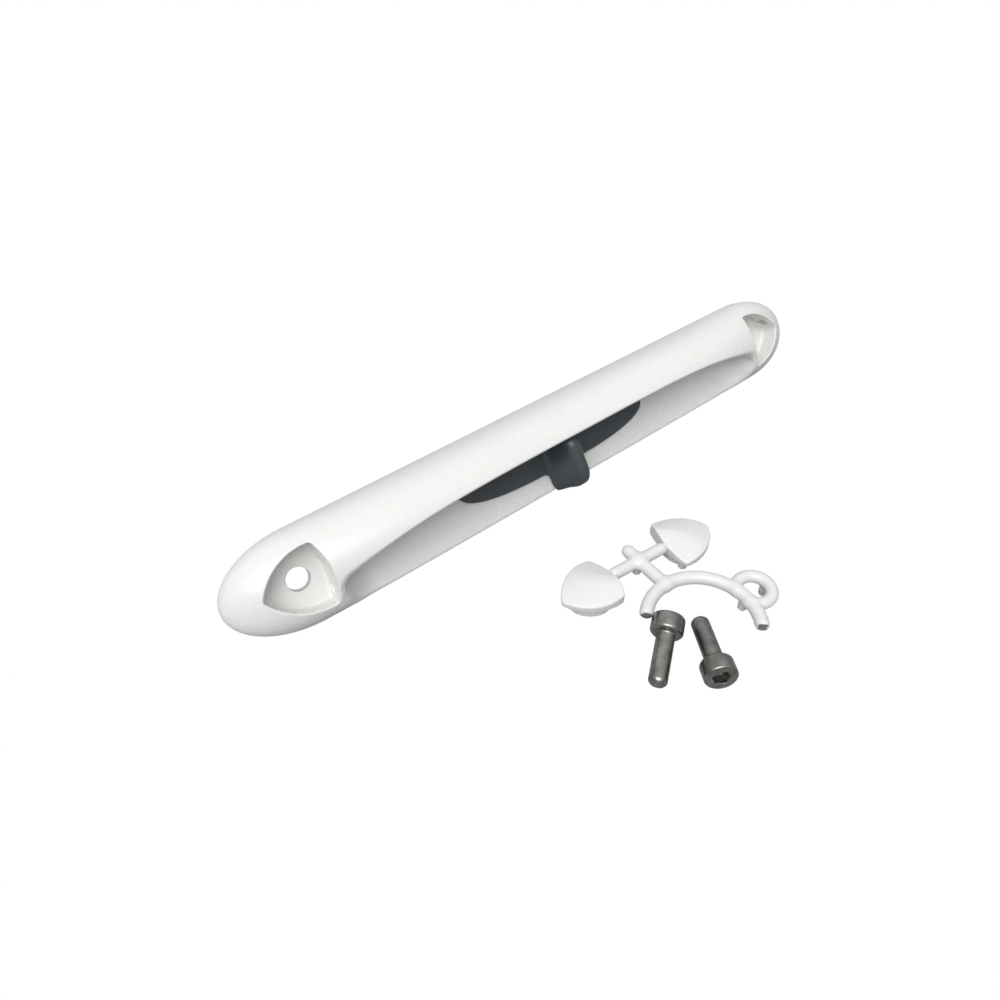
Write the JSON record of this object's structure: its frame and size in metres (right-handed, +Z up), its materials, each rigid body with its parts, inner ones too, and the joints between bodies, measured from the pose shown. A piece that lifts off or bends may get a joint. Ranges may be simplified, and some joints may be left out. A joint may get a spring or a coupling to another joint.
{
  "type": "sliding window pull handle",
  "caption": "Bow-shaped sliding-window pull with a finger recess, a sliding thumb latch, screw covers on their sprue and cap screws",
  "frame": {"origin": "middle of the handle's mounting face; the handle leans 55 degrees about X, as it lies on a table", "axes": "+X along the handle, +Z up from the table; the mounting face looks down and back, towards +Y"},
  "size_m": [0.22, 0.1054, 0.0278],
  "materials": {
    "white_plastic": "gloss moulded white",
    "slider_plastic": "satin dark blue-grey moulding",
    "inner_plastic": "natural acetal",
    "zinc_steel": "zinc plated",
    "stainless_steel": "turned stainless steel",
    "bumper_rubber": "moulded rubber"
  },
  "bodies": {
    "handle": {"housing": "white_plastic", "back_plate": "inner_plastic", "plate_screw_1": "zinc_steel", "plate_screw_2": "zinc_steel", "plate_screw_3": "zinc_steel", "plate_screw_4": "zinc_steel", "guide_rail_upper": "inner_plastic", "guide_rail_lower": "inner_plastic", "end_bumper_left": "bumper_rubber", "end_bumper_right": "bumper_rubber"},
    "slider": {"thumb_slider": "slider_plastic", "slide_carriage": "inner_plastic", "carriage_screw_1": "zinc_steel", "carriage_screw_2": "zinc_steel", "drag_spring": "zinc_steel", "drive_pin": "zinc_steel", "pin_washer": "zinc_steel", "pin_circlip": "zinc_steel"},
    "cover_set": {"cap_sprue": "white_plastic", "cover_cap_left": "white_plastic", "cover_cap_right": "white_plastic"},
    "screw_left": {"mounting_screw_left": "stainless_steel"},
    "screw_right": {"mounting_screw_right": "stainless_steel"}
  },
  "joints": [
    {"name": "slider_travel", "type": "slide", "parent": "handle", "child": "slider", "axis": [1, 0, 0], "range_m": [-0.0095, 0.0145]},
    {"name": "cover_lift", "type": "slide", "parent": "handle", "child": "cover_set", "axis": [0, 0, 1], "range_m": [0, 0.06]},
    {"name": "screw_left_lift", "type": "slide", "parent": "handle", "child": "screw_left", "axis": [0, 0, 1], "range_m": [0, 0.06]},
    {"name": "screw_right_lift", "type": "slide", "parent": "handle", "child": "screw_right", "axis": [0, 0, 1], "range_m": [0, 0.06]}
  ]
}
